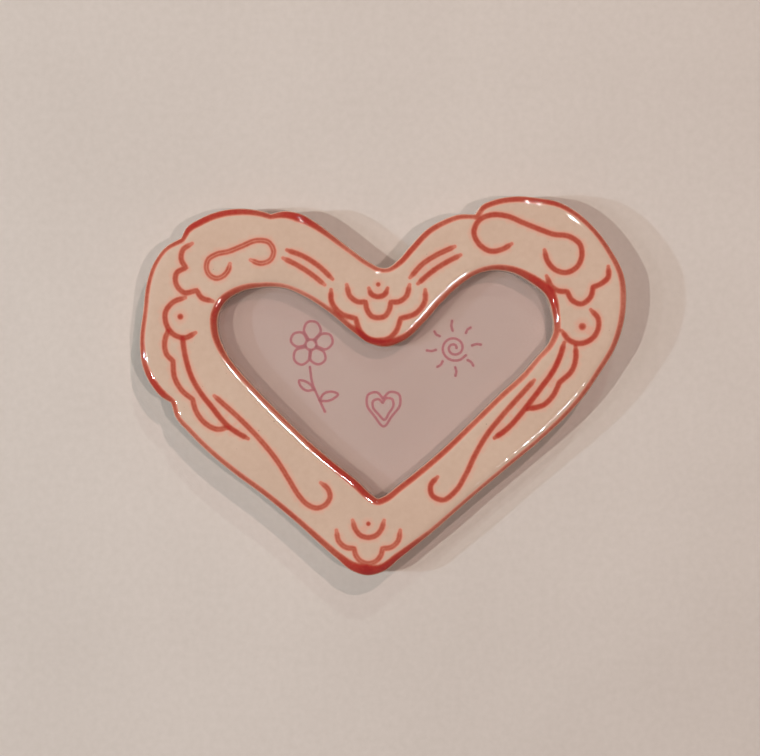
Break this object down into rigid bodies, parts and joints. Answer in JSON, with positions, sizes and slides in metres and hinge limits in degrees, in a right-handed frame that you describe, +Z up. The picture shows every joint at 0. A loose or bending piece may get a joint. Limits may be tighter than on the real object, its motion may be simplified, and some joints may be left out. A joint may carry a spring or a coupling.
{
  "type": "magnetic photo frame",
  "caption": "Heart-shaped glazed ceramic photo frame with scrollwork grooves, a clear pane over a heart opening, disc magnets on the back and turn buttons that hold the backing board.",
  "frame": {"origin": "centre of the top magnet's back face, where the frame meets the surface it hangs on", "axes": "+X along the width, to the right as seen from the front; +Z up; +Y out of the back, into the surface it hangs on, so the front faces -Y"},
  "size_m": [0.15, 0.012, 0.117],
  "materials": {
    "glazed_ceramic": "gloss",
    "clear_pane": "polished",
    "card": "matte",
    "pad": "matte",
    "board": "satin",
    "magnet": "polished",
    "button_steel": "satin",
    "screw_steel": "satin",
    "nylon": "matte"
  },
  "bodies": {
    "frame": {"frame_casting": "glazed_ceramic", "window_pane": "clear_pane", "photo_card": "card", "filler_pad": "pad", "back_board": "board", "magnet_top": "magnet", "magnet_left": "magnet", "magnet_right": "magnet", "magnet_bottom": "magnet", "pivot_screw_upper_left": "screw_steel", "pivot_screw_upper_right": "screw_steel", "pivot_screw_lower_left": "screw_steel", "pivot_screw_lower_right": "screw_steel", "anchor_plug_upper_left": "nylon", "anchor_plug_upper_right": "nylon", "anchor_plug_lower_left": "nylon", "anchor_plug_lower_right": "nylon"},
    "turn_button_upper_left": {"turn_button_upper_left": "button_steel"},
    "turn_button_upper_right": {"turn_button_upper_right": "button_steel"},
    "turn_button_lower_left": {"turn_button_lower_left": "button_steel"},
    "turn_button_lower_right": {"turn_button_lower_right": "button_steel"}
  },
  "joints": [
    {"name": "turn_upper_left", "type": "hinge", "parent": "frame", "child": "turn_button_upper_left", "pos_m": [-0.03874, -0.002, 0.01443], "axis": [0, 1, 0], "continuous": true},
    {"name": "turn_upper_right", "type": "hinge", "parent": "frame", "child": "turn_button_upper_right", "pos_m": [0.04177, -0.002, 0.0185], "axis": [0, 1, 0], "continuous": true},
    {"name": "turn_lower_left", "type": "hinge", "parent": "frame", "child": "turn_button_lower_left", "pos_m": [-0.03778, -0.002, -0.03915], "axis": [0, 1, 0], "continuous": true},
    {"name": "turn_lower_right", "type": "hinge", "parent": "frame", "child": "turn_button_lower_right", "pos_m": [0.03243, -0.002, -0.04124], "axis": [0, 1, 0], "continuous": true}
  ]
}
